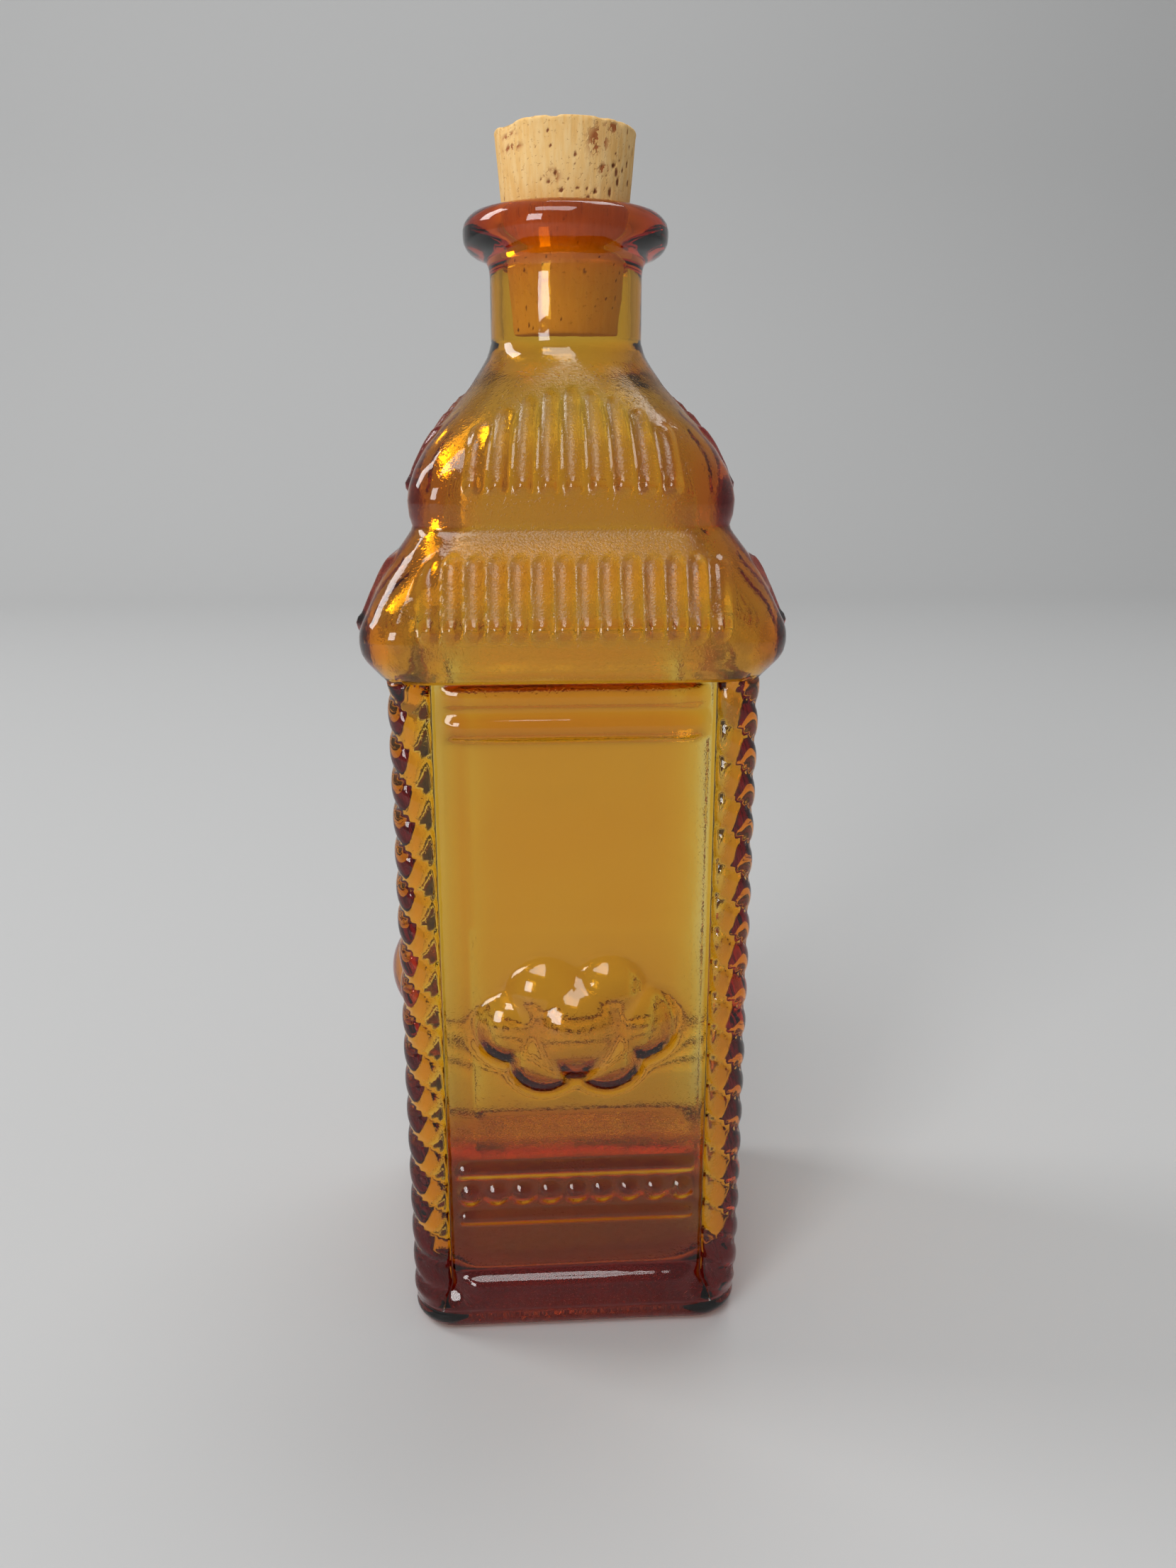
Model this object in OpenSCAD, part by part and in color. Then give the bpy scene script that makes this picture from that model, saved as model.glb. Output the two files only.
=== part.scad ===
// A square amber glass bottle with a pavilion roof, rope columns at its
// corners and a tapered cork. All lengths are in millimetres, +Z is up, the
// front face looks along -Y, and the origin is the middle of the underside.

/* [Body] */
// Width of the body over the crests of two rope columns
body_w = 74.4; // [66:0.1:84]
// Height from the table to the underside of the eave
body_h = 151; // [130:0.5:154]
// How far each flat face lies behind the crests of the columns
face_setback = 2.8; // [2:0.1:4]
// Height of the smooth plinth under the rope columns
plinth_h = 14.8; // [12:0.1:20]
// Radius of the plinth's upright corners
plinth_corner_r = 6; // [5:0.1:9]
// Radius where the plinth turns under to the base
heel_r = 4.5; // [3:0.1:4.8]
// Radius of the plinth's upper edge
plinth_edge_r = 2; // [1:0.1:3]

/* [Rope columns] */
// Diameter of a column over its crests
column_d = 10.2; // [9:0.1:12]
// Distance between the middles of a column's two strands
strand_spread = 1.9; // [1.2:0.1:3]
// Height in which a strand goes once round its column
rope_lead = 14.84; // [12:0.02:20]
// Height above the table at which a strand crest faces forward
crest_z = 145; // [130:0.5:150]

/* [Roof] */
// Half width of the lower roof at the eave
eave_half = 42; // [40:0.1:48]
// Height from the top of the body to the eave's widest line
eave_rise = 7.7; // [5:0.1:12]
// Half width at the crease between the two roofs
crease_half = 30.9; // [27:0.1:32]
// Height from the eave's widest line to the crease
lower_roof_h = 21.5; // [16:0.1:28]
// Half width of the upper roof at its widest line
shoulder_half = 31.6; // [31.2:0.1:38]
// Height from the crease to the upper roof's widest line
shoulder_rise = 5.1; // [3:0.1:8]
// Height from that line to the neck's foot
upper_roof_h = 28.7; // [22:0.1:36]
// Radius of the lower roof's upright corners at the eave
eave_corner_r = 9.5; // [7:0.1:16]
// Radius of the upright corners at the crease
crease_corner_r = 8; // [6:0.1:12]

/* [Neck and lip] */
// Diameter of the neck
neck_d = 31.5; // [29.5:0.1:36]
// Height from the neck's foot to the top of the lip
neck_h = 27.3; // [22:0.1:40]
// Diameter of the rolled lip
lip_d = 42.3; // [38:0.1:48]
// Height of the rolled lip
lip_h = 9.4; // [7:0.1:11]
// Diameter of the bore that the cork sits in
bore_d = 26.2; // [22:0.1:27]

/* [Glass wall] */
// Thickness of the flat walls
wall = 3.8; // [2.5:0.1:5]
// Thickness of the roofs, measured level
roof_wall = 4.6; // [3:0.1:6]
// Thickness of the bottom at its edge
bottom_t = 8; // [6:0.1:12]
// Radius of the cavity's upright corners
cavity_corner_r = 5; // [4:0.1:14]
// Radius where the cavity's floor meets its walls
cavity_floor_r = 5; // [2:0.1:6]
// Width of the shallow hollow under the base
kick_d = 46; // [30:1:54]
// Depth of the shallow hollow under the base
kick_h = 1.6; // [0.8:0.1:2.5]

/* [Rolls and bars] */
// Half length of the rolls and bars on each face
bar_half = 26.6; // [20:0.1:27]
// Radius of the two rolls under the eave
roll_r = 3.4; // [2.5:0.1:3.8]
// How far a roll stands out from the face
roll_relief = 2.3; // [1.5:0.1:3]
// Radius of the two thin bars near the foot
bar_r = 1.7; // [1:0.1:2.2]
// How far a thin bar stands out from the face
bar_relief = 1.3; // [0.8:0.1:1.6]
// Height of the upper thin bar
upper_bar_z = 40.6; // [37:0.1:46]
// Height of the lower thin bar
lower_bar_z = 28.8; // [22:0.1:32]

/* [Bead row] */
// Radius of one bead's ball
bead_r = 3.3; // [2.4:0.1:3.6]
// How far a bead stands out from the face
bead_relief = 1.4; // [0.8:0.1:1.8]
// Number of beads in a row
bead_count = 9; // [5:1:9]

/* [Rosette] */
// Width of the rosette over its petals
rosette_w = 45; // [36:0.5:48]
// Height of the rosette over its petals
rosette_h = 34; // [30:0.5:46]
// Height above the table of the rosette's middle
rosette_z = 75; // [70:0.5:100]
// Number of petals
petal_count = 6; // [5:1:8]
// Radius of one petal's ball
petal_r = 10.5; // [8.5:0.1:12]
// How far a petal stands out from the face
petal_relief = 5; // [3:0.1:6]
// Radius of the ball in the rosette's middle
boss_r = 13.5; // [9:0.1:15]
// How far that ball stands out from the face
boss_relief = 8; // [6.5:0.1:8.5]

/* [Roof ribs] */
// Distance between two ribs of the lower roof
lower_rib_pitch = 4.26; // [3.9:0.02:4.5]
// Number of ribs on one face of the lower roof
lower_rib_count = 14; // [5:1:14]
// Distance between two ribs of the upper roof
upper_rib_pitch = 5; // [4.2:0.05:5.4]
// Number of ribs on one face of the upper roof
upper_rib_count = 9; // [3:1:9]
// Radius of a rib
rib_r = 1.6; // [1.2:0.1:1.8]
// How far a rib's foot stands out from the roof
rib_relief = 1.2; // [0.8:0.1:1.3]

/* [Cork] */
// Height of the cork
cork_h = 39; // [30:0.5:44]
// Diameter of the cork's top
cork_top_d = 28.6; // [27.5:0.1:32]
// How far the cork stands out of the mouth
cork_out = 14.7; // [8:0.1:20]
// Gap between the cork and the mouth
cork_gap = 0.1; // [0.05:0.01:0.3]
// Bevel round the cork's ends
cork_bevel = 0.5; // [0.2:0.1:1.2]

/* [Hidden] */
$fn = 48;

amber = [0.66, 0.36, 0.06];
cork_tan = [0.84, 0.65, 0.40];

// How far a cutting or sunk shape runs past the surface it crosses
overrun = 1;
sides = [0:3];
// The front and both flanks carry a rosette, and the back is bare
rosette_sides = [0, 1, 3];
full_turn = 360;
quarter_turn = full_turn / 4;

// Levels, each standing on the one below
eave_z = body_h + eave_rise;
crease_z = eave_z + lower_roof_h;
shoulder_z = crease_z + shoulder_rise;
neck_foot_z = shoulder_z + upper_roof_h;
glass_h = neck_foot_z + neck_h;

// Plan of the body
body_half = body_w / 2;
face_half = body_half - face_setback;
column_r = column_d / 2;
column_at = body_half - column_r;
neck_r = neck_d / 2;
bore_r = bore_d / 2;

// The rope: two strands side by side, seen in plan as two overlapping discs.
// One ring lies above another by the height in which the rope turns one step.
// Only the arc that shows is drawn round; one more point closes it in the core.
spread = strand_spread / 2;
strand_r = column_r - spread;
arc_steps = 5;
arc_step = 42;
arc_first = 150;
ring_gap = rope_lead * arc_step / full_turn;
rope_ring_count = floor((body_h - plinth_h) / ring_gap) + 2;
rope_foot = (body_h + plinth_h - (rope_ring_count - 1) * ring_gap) / 2;

function rope_r(angle, z) =
    let (t = angle + full_turn * (z - crest_z) / rope_lead)
    spread * abs(cos(t)) + sqrt(strand_r * strand_r - pow(spread * sin(t), 2));

// A ring is one level of the shell. It runs clockwise seen from above: on each
// side two points on the flat face, then the points round the next corner.
function turned(p, side) =
    let (a = -quarter_turn * side)
    [p[0] * cos(a) - p[1] * sin(a), p[0] * sin(a) + p[1] * cos(a), p[2]];

function ring(flat, half, corner, z) =
    let (quarter = concat([[-flat, half, z], [flat, half, z]], corner))
    [for (side = sides) for (p = quarter) turned(p, side)];

corner_steps = 6;
function round_corner(half, r, z) =
    [for (i = [0:corner_steps])
        let (a = quarter_turn * (1 - i / corner_steps))
        [half - r + r * cos(a), half - r + r * sin(a), z]];

function rope_ring(z) =
    concat([for (i = [0:arc_steps])
                let (a = arc_first - arc_step * i, r = rope_r(a, z))
                [column_at + r * cos(a), column_at + r * sin(a), z]],
           [[column_at - spread, column_at - spread, z]]);

function plain_ring(half, r, z) = ring((half - r) / 2, half, round_corner(half, r, z), z);

// A closed skin over a list of rings, each with the same number of points.
// A point in the middle of each end closes it with a fan.
function middle(one_ring) = [for (p = one_ring) 1 / len(one_ring)] * one_ring;

module skin(rings) {
    n = len(rings[0]);
    last = len(rings) - 1;
    ends_at = len(rings) * n;
    walls = [for (k = [0:last - 1]) for (i = [0:n - 1])
        let (j = (i + 1) % n, low = k * n, high = low + n)
        each [[low + i, low + j, high + j], [low + i, high + j, high + i]]];
    lower_end = [for (i = [0:n - 1]) [ends_at, (i + 1) % n, i]];
    upper_end = [for (i = [0:n - 1]) [ends_at + 1, last * n + i, last * n + (i + 1) % n]];
    polyhedron(points = concat([for (r = rings) each r], [middle(rings[0]), middle(rings[last])]),
               faces = concat(lower_end, walls, upper_end));
}

function between(a, b, share) = a + (b - a) * share;

// Profiles, as shares of the way in from the wide end and of the way up
eave_shares = [[0.87, 0], [0.48, 0.3], [0.22, 0.52], [0.06, 0.72]];
lower_roof_shares = [[0, 0], [0.04, 0.14], [0.15, 0.27], [0.25, 0.4], [0.43, 0.58],
                     [0.66, 0.76], [0.95, 0.95], [1, 1]];
shoulder_shares = [[0.57, 0.45], [0.15, 0.75]];
upper_roof_shares = [[0, 0], [0.01, 0.09], [0.06, 0.21], [0.17, 0.35], [0.33, 0.49],
                     [0.52, 0.62], [0.73, 0.77], [0.89, 0.9], [1.02, 1]];
// How round the top ring is, as a share of its half width
round_share = 0.97;

// Level rings of each part of the shell, from the base to the neck
heel_steps = 4;
edge_steps = 3;

function foot_ring(inset, z) = plain_ring(body_half - inset, plinth_corner_r - inset, z);

heel_rings = [for (i = [0:heel_steps])
    let (a = quarter_turn * i / heel_steps)
    foot_ring(heel_r * (1 - sin(a)), heel_r * (1 - cos(a)))];
edge_rings = [for (i = [0:edge_steps])
    let (a = quarter_turn * i / edge_steps)
    foot_ring(plinth_edge_r * (1 - cos(a)), plinth_h - plinth_edge_r * (1 - sin(a)))];
rope_rings = [for (k = [0:rope_ring_count - 1]) rope_ring(rope_foot + k * ring_gap)];
eave_rings = [for (s = eave_shares)
    plain_ring(between(eave_half, body_half, s[0]), eave_corner_r, between(body_h, eave_z, s[1]))];
lower_rings = [for (s = lower_roof_shares)
    plain_ring(between(eave_half, crease_half, s[0]),
               between(eave_corner_r, crease_corner_r, s[0]),
               between(eave_z, crease_z, s[1]))];
shoulder_rings = [for (s = shoulder_shares)
    plain_ring(between(shoulder_half, crease_half, s[0]), crease_corner_r,
               between(crease_z, shoulder_z, s[1]))];
upper_rings = [for (s = upper_roof_shares)
    let (half = between(shoulder_half, neck_r, s[0]))
    plain_ring(half, between(crease_corner_r, neck_r * round_share, min(1, s[1])),
               between(shoulder_z, neck_foot_z, s[1]))];

module plinth() {
    skin(concat([foot_ring(heel_r, -overrun)], heel_rings, edge_rings));
}

module core() {
    foot = plinth_h / 2;
    translate([-face_half, -face_half, foot]) cube([2 * face_half, 2 * face_half, eave_z - foot]);
}

module rope_columns() {
    for (side = sides) rotate([0, 0, quarter_turn * side])
        skin(rope_rings);
}

module roofs() {
    skin(concat(eave_rings, lower_rings, shoulder_rings, upper_rings));
}

// The neck runs up into the lip, which rolls over to the mouth in a smooth curve
lip_shares = [[0.1, 0], [0.5, 0.03], [0.85, 0.16], [1, 0.42], [0.97, 0.63], [0.83, 0.82],
              [0.6, 0.94], [0.35, 1]];

module neck_and_lip() {
    lip_foot = glass_h - lip_h;
    translate([0, 0, shoulder_z]) cylinder(r = neck_r, h = glass_h - lip_h / 2 - shoulder_z);
    rotate_extrude()
        polygon(concat([[0, lip_foot]],
                       [for (s = lip_shares) [between(neck_r, lip_d / 2, s[0]), between(lip_foot, glass_h, s[1])]],
                       [[0, glass_h]]));
}

// A ball sunk in the front face, so that it stands out by its relief
module sunk_ball(r, relief, x, z) {
    translate([x, r - face_half - relief, z]) sphere(r = r);
}

module rosette() {
    petal_reach = sqrt(petal_r * petal_r - pow(petal_r - petal_relief, 2));
    for (i = [0:petal_count - 1])
        let (a = full_turn * (i + 0.5) / petal_count)
        sunk_ball(petal_r, petal_relief,
                  (rosette_w / 2 - petal_reach) * sin(a),
                  rosette_z + (rosette_h / 2 - petal_reach) * cos(a));
    sunk_ball(boss_r, boss_relief, 0, rosette_z);
}

module bead_row() {
    gap = 2 * bar_half / bead_count;
    for (i = [0:bead_count - 1])
        sunk_ball(bead_r, bead_relief, gap * (i - (bead_count - 1) / 2), (upper_bar_z + lower_bar_z) / 2);
}

// A level bar sunk in the front face, with ends a little rounder than itself
end_share = 1.02;
module bar(r, relief, z) {
    reach = bar_half - r;
    translate([-reach, r - face_half - relief, z]) rotate([0, quarter_turn, 0]) cylinder(r = r, h = 2 * reach);
    for (x = [-reach, reach])
        translate([x, r - face_half - relief, z]) sphere(r = r * end_share);
}

// The upper roll is sunk a little in the eave, and the lower one in the upper
roll_sink_share = 0.9;
module rolls_and_bars() {
    roll_z = body_h - roll_sink_share * roll_r;
    bar(roll_r, roll_relief, roll_z);
    bar(roll_r, roll_relief, roll_z - 2 * roll_sink_share * roll_r);
    bar(bar_r, bar_relief, upper_bar_z);
    bar(bar_r, bar_relief, lower_bar_z);
}

// A straight rib leans with the roof, with a ball at its tip and a bead at its foot
foot_share = 1.1;
tip_share = 0.9;
module straight_rib(foot, tip) {
    way = tip - foot;
    long = norm(way);
    translate(foot) rotate([0, acos(way[2] / long), atan2(way[1], way[0])]) {
        cylinder(r1 = rib_r, r2 = rib_r * tip_share, h = long);
        translate([0, 0, long]) sphere(r = rib_r * tip_share * end_share);
    }
    translate(foot) sphere(r = rib_r * foot_share);
}

// A curved rib follows the roof through several spots, with six flat sides
bent_ends_share = 0.45;
module curved_rib(spots) {
    last = len(spots) - 1;
    skin([for (k = [0:last])
        let (r = rib_r * (k == 0 || k == last ? bent_ends_share : 1))
        [for (i = [0:5])
            let (a = -quarter_turn - full_turn * i / 6)
            spots[k] + [r * cos(a), r * sin(a), 0]]]);
}

// Half width of a roof at a share of the way up it
function swapped(shares) = [for (s = shares) [s[1], s[0]]];
function lower_half(up) = between(eave_half, crease_half, lookup(up, swapped(lower_roof_shares)));
function upper_half(up) = between(shoulder_half, neck_r, lookup(up, swapped(upper_roof_shares)));

// Where the ribs start and end, as shares of the way up their roof. The upper
// ribs are tallest in the middle of the face and close in as the roof narrows.
lower_rib_shares = [0.15, 0.68];
upper_rib_foot_share = 0.1;
upper_rib_top_share = 0.68;
upper_rib_drop_share = 0.24;
upper_rib_step_shares = [-0.06, 0, 0.3, 0.6, 1, 1.06];
rib_back = rib_r - rib_relief;

function lower_spot(x, up) = [x, rib_back - lower_half(up), between(eave_z, crease_z, up)];
function upper_spot(x, up) =
    let (half = upper_half(up))
    [x * half / shoulder_half, rib_back - half, between(shoulder_z, neck_foot_z, up)];

module lower_ribs() {
    for (i = [0:lower_rib_count - 1])
        let (x = lower_rib_pitch * (i - (lower_rib_count - 1) / 2))
        straight_rib(lower_spot(x, lower_rib_shares[0]), lower_spot(x, lower_rib_shares[1]));
}

module upper_ribs() {
    for (i = [0:upper_rib_count - 1])
        let (x = upper_rib_pitch * (i - (upper_rib_count - 1) / 2))
        let (out = 2 * i / (upper_rib_count - 1) - 1)
        let (top = upper_rib_top_share - upper_rib_drop_share * out * out)
        curved_rib([for (s = upper_rib_step_shares) upper_spot(x, between(upper_rib_foot_share, top, s))]);
}

module face_relief() {
    bead_row();
    rolls_and_bars();
    lower_ribs();
    upper_ribs();
}

// The hollow inside follows the outer form, smoothed as blown glass is
inner_half = face_half - wall;
floor_inset_shares = [[0.7, 0], [0.3, 0.25], [0, 1]];
inner_roof_shares = [[0.3, 0.35], [0.55, 0.58], [0.8, 0.76], [1.1, 0.86]];

module cavity() {
    skin(concat(
        [for (s = floor_inset_shares)
            plain_ring(inner_half - cavity_floor_r * s[0], cavity_corner_r - cavity_floor_r * s[0],
                       bottom_t + cavity_floor_r * s[1])],
        [plain_ring(inner_half, cavity_corner_r, body_h - roll_r),
         plain_ring(eave_half - roof_wall, eave_corner_r, eave_z),
         plain_ring(crease_half - wall, crease_corner_r, crease_z),
         plain_ring(shoulder_half - roof_wall, crease_corner_r, shoulder_z)],
        [for (s = inner_roof_shares)
            let (half = between(shoulder_half - roof_wall, bore_r, s[0]))
            plain_ring(half, min(half, between(crease_corner_r, bore_r, s[1])) * round_share,
                       between(shoulder_z, neck_foot_z, s[1]))]));
    translate([0, 0, shoulder_z]) cylinder(r = bore_r, h = glass_h - shoulder_z + overrun);
}

// The shallow hollow under the base, part of a large ball
module kick() {
    r = (kick_d * kick_d / 4 + kick_h * kick_h) / (2 * kick_h);
    translate([0, 0, kick_h - r]) sphere(r = r);
}

module below_table() {
    translate([-body_w, -body_w, -body_w]) cube([2 * body_w, 2 * body_w, body_w]);
}

module glass_bottle() {
    color(amber)
    difference() {
        union() {
            plinth();
            core();
            rope_columns();
            roofs();
            neck_and_lip();
            for (side = sides) rotate([0, 0, quarter_turn * side]) face_relief();
            for (side = rosette_sides) rotate([0, 0, quarter_turn * side]) rosette();
        }
        cavity();
        kick();
        below_table();
    }
}

// The cork tapers evenly, and is as wide as the bore, less its gap, at the mouth
function cork_r(z) =
    between(bore_r - cork_gap, cork_top_d / 2, (z - glass_h) / cork_out);

module cork_stopper() {
    top = glass_h + cork_out;
    foot = top - cork_h;
    color(cork_tan)
    rotate_extrude()
        polygon([[0, foot],
                 [cork_r(foot) - cork_bevel, foot],
                 [cork_r(foot + cork_bevel), foot + cork_bevel],
                 [cork_r(top - cork_bevel), top - cork_bevel],
                 [cork_r(top) - cork_bevel, top],
                 [0, top]]);
}

glass_bottle();
cork_stopper();
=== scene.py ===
# %% [markdown]
# # A square amber glass bottle with a cork
#
# The bottle is amber glass, blown in a mould: a square body with a rope column
# at each corner, rolls and beads on its faces, a rosette on three of them, two
# ribbed roofs, a round neck and a rolled lip. A tapered cork stands in the mouth.
#
# The packed CAD model is the fixed frame. Its two solids have the right places
# and sizes, and the two pieces below stand for them with the fine relief, the
# soft edges and the finishes that a solid model leaves out.

import math

import bpy
import numpy as np
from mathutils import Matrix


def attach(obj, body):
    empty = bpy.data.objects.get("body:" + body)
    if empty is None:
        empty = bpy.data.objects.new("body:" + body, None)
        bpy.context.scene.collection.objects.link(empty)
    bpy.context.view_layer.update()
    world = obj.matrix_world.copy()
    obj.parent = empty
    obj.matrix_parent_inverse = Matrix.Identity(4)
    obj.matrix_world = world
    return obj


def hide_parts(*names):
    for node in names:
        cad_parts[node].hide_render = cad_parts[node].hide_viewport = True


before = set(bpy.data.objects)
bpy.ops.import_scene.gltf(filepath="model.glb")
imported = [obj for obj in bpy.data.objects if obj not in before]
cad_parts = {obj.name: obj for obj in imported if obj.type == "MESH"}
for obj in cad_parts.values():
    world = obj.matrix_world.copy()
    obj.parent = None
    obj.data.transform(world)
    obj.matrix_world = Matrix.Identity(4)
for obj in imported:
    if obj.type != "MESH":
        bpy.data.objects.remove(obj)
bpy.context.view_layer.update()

# %% [markdown]
# ## Working in millimetres
#
# Glass moulds are drawn in millimetres, so every size below is one too. Blender
# works in metres, and the change is made once, when an array becomes a mesh.
#
# A mesh could be built vertex by vertex, but a whole surface worked out as
# arrays is shorter to write and runs in a blink.

# %% Arrays into meshes
MM = 0.001


def placed(name, data):
    """Puts one object with this data into the scene."""
    thing = bpy.data.objects.new(name, data)
    bpy.context.scene.collection.objects.link(thing)
    return thing


def mesh_piece(name, points, triangles, attributes):
    """One smooth object from points in millimetres, triangles of indices and values at the points."""
    mesh = bpy.data.meshes.new(name)
    mesh.vertices.add(len(points))
    mesh.vertices.foreach_set("co", (np.asarray(points) * MM).ravel())
    mesh.loops.add(3 * len(triangles))
    mesh.loops.foreach_set("vertex_index", np.asarray(triangles).ravel())
    mesh.polygons.add(len(triangles))
    mesh.polygons.foreach_set("loop_start", np.arange(0, 3 * len(triangles), 3))
    mesh.polygons.foreach_set("loop_total", np.full(len(triangles), 3))
    mesh.polygons.foreach_set("use_smooth", np.ones(len(triangles), bool))
    mesh.update(calc_edges=True)
    mesh.validate()
    for label, values in attributes.items():
        layer = mesh.attributes.new(label, "FLOAT", "POINT")
        layer.data.foreach_set("value", values)
    print(f"{name}: {len(points)} points, {len(triangles)} triangles")
    return placed(name, mesh)


print("one millimetre is", MM, "of Blender's metres")

# %% [markdown]
# ## Rings, and a skin over them
#
# The whole bottle is one closed skin, as one pour of glass is: from the middle
# of the underside, up the outside, over the lip and down the inside to the
# floor of the hollow. A glass object has to be closed like this, because the
# renderer colours light by how far it travels between going in and coming out.
#
# The skin is carried by level rings, each running anticlockwise seen from
# above. Two rings with as many points are joined straight across. Where the
# counts differ, a zip joins them: all edges of both rings are sorted by their
# place round the ring, and each makes one triangle with the point that the
# other ring has reached.

# %% Rings and zips
TURNS = 4


def quarter_turned(front, turns):
    """Front quarters of rings, turned about the axis: each quarter turn takes x, y to -y, x."""
    x, y, z = front[..., 0], front[..., 1], front[..., 2]
    for _ in range(turns):
        x, y = -y, x
    return np.stack([x, y, z], -1)


def four_fold(front, back=None):
    """Whole rings from their front quarter by three quarter turns. The back may differ."""
    quarters = [front, front, front if back is None else back, front]
    return np.concatenate([quarter_turned(q, turns) for turns, q in enumerate(quarters)], axis=-2)


def ring_places(front):
    """Repeats the places round the first quarter, 0 to 1, up to 4."""
    return np.concatenate([front + turn for turn in range(TURNS)])


def joined(low_places, high_places, low_start, high_start):
    """Triangles between two rings: two for each pair of points, or a zip."""
    n, m = len(low_places), len(high_places)
    i, j = np.arange(n), np.arange(m)
    if n == m:
        after = (i + 1) % n
        first = np.stack([low_start + i, low_start + after, high_start + after], 1)
        second = np.stack([low_start + i, high_start + after, high_start + i], 1)
        return np.concatenate([first, second])
    low_middles = (low_places + np.append(low_places[1:], low_places[0] + TURNS)) / 2
    high_middles = (high_places + np.append(high_places[1:], high_places[0] + TURNS)) / 2
    reached = np.searchsorted(high_middles, low_middles, "left") % m
    passed = np.searchsorted(low_middles, high_middles, "right") % n
    on_low = np.stack([low_start + i, low_start + (i + 1) % n, high_start + reached], 1)
    on_high = np.stack([low_start + passed, high_start + (j + 1) % m, high_start + j], 1)
    return np.concatenate([on_low, on_high])


def closed_skin(sections, first_pole, last_pole):
    """One closed skin over sections of rings.

    A section is an array of rings by points by 3, with the places of its points.
    A fan from a pole closes each end.
    """
    rings = [(ring, places) for grid, places in sections for ring in grid]
    starts = np.cumsum([1] + [len(ring) for ring, _ in rings])
    points = np.concatenate([[first_pole]] + [ring for ring, _ in rings] + [[last_pole]])
    pairs = zip(rings, rings[1:], starts, starts[1:])
    triangles = [joined(low, high, a, b) for (_, low), (_, high), a, b in pairs]
    first, last = np.arange(len(rings[0][0])), np.arange(len(rings[-1][0]))
    first_next, last_next = np.roll(first, -1), np.roll(last, -1)
    triangles.append(np.stack([0 * first, 1 + first_next, 1 + first], 1))
    end, pole = starts[-2], len(points) - 1
    triangles.append(np.stack([end + last, end + last_next, 0 * last + pole], 1))
    return points, np.concatenate(triangles)


eight, twelve = np.arange(8) / 2, np.arange(12) / 3
print("a zip between 8 and 12 points has", len(joined(eight, twelve, 0, 8)), "triangles")

# %% [markdown]
# ## Softened numbers
#
# Molten glass can't hold a sharp inner corner, so one shape flows into the
# next. A smooth maximum does that with numbers: far from the meeting line it
# is the larger of the two heights, and near it the curve between them.
#
# Pressed glass isn't perfectly even either. A field of slow waves, with seeded
# directions and lengths, gives each wall its faint swell, which is what makes
# light wander in real glass. A swell is written as its seed, its height and
# the shortest and longest of its waves.

# %% Smooth helpers
FINE_STEP = 0.05
TINY = 1e-9


def smooth_max(a, b, soft):
    """Half of the sum and of the softened difference: the larger of a and b, blended."""
    return 0.5 * (a + b + np.sqrt((a - b) ** 2 + soft**2))


def ease(share):
    """0 below 0, 1 above 1, and 3s² - 2s³ between."""
    s = np.clip(share, 0, 1)
    return s * s * (3 - 2 * s)


def plateau(value, low, rise, high, fall):
    """1 between low and high, eased from 0 over a rise inside low and a fall inside high."""
    return ease((value - low) / rise) * ease((high - value) / fall)


def at_least(low, share):
    """Low where the share is 0, 1 where it is 1, and a straight line between."""
    return low + (1 - low) * share


def waves(points, seed, shortest, longest, count=14):
    """Twice the mean of plane waves, each with a seeded direction, length and phase."""
    draw = np.random.default_rng(seed)
    ways = draw.normal(size=(count, 3))
    ways /= np.linalg.norm(ways, axis=1, keepdims=True)
    lengths = draw.uniform(shortest, longest, count)
    phases = draw.uniform(0, 2 * np.pi, count)
    return np.sin(points @ (ways * 2 * np.pi / lengths[:, None]).T + phases).mean(-1) * 2


def outward(grid):
    """Unit normals of a grid of rings: the way round crossed with the way along."""
    around = np.roll(grid, -1, axis=1) - np.roll(grid, 1, axis=1)
    along = np.gradient(grid, axis=0)
    normal = np.cross(around, along)
    return normal / np.maximum(np.linalg.norm(normal, axis=-1, keepdims=True), TINY)


def swell(grid, seed, height, shortest, longest):
    """Moves a grid along its normals by a field of waves."""
    field = waves(grid.reshape(-1, 3), seed, shortest, longest).reshape(grid.shape[:2])
    return grid + outward(grid) * (height * field)[..., None]


def run_along(path):
    """How far along a path each of its points lies, by its first two numbers."""
    steps = np.linalg.norm(np.diff(path[:, :2], axis=0), axis=1)
    return np.concatenate([[0], np.cumsum(steps)])


def smooth_path(stops, count, softness):
    """Stops joined by straight lines, evenly resampled and softened by a running mean."""
    stops = np.array(stops, float)
    run = run_along(stops)
    dense = np.linspace(0, run[-1], int(run[-1] / FINE_STEP) + 1)
    path = np.stack([np.interp(dense, run, column) for column in stops.T], 1)
    reach = max(1, int(softness / FINE_STEP))
    weights = np.hanning(2 * reach + 3)[1:-1]
    before = 2 * path[0] - path[reach:0:-1]
    after = 2 * path[-1] - path[-2 : -reach - 2 : -1]
    padded = np.concatenate([before, path, after])
    soft = np.stack([np.convolve(c, weights / weights.sum(), "valid") for c in padded.T], 1)
    return soft[np.linspace(0, len(soft) - 1, count).round().astype(int)]


print("two heights of 1 mm blended over 0.6 mm meet at", round(smooth_max(1.0, 1.0, 0.6), 2), "mm")

# %% [markdown]
# ## Square rings with round corners
#
# The heel, the roofs and the hollow are all squares with round corners that
# change as they rise. Each could be a bevelled box, but a bevel can't change
# its radius on the way up. So a ring is written in polar form, by the distance
# from the axis in each direction. The directions are the same in every ring of
# a section, so the points of one ring stand over those of the last.

# %% Rounded squares
FACE_REACH, FACE_PART = 0.76, 0.86


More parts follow.
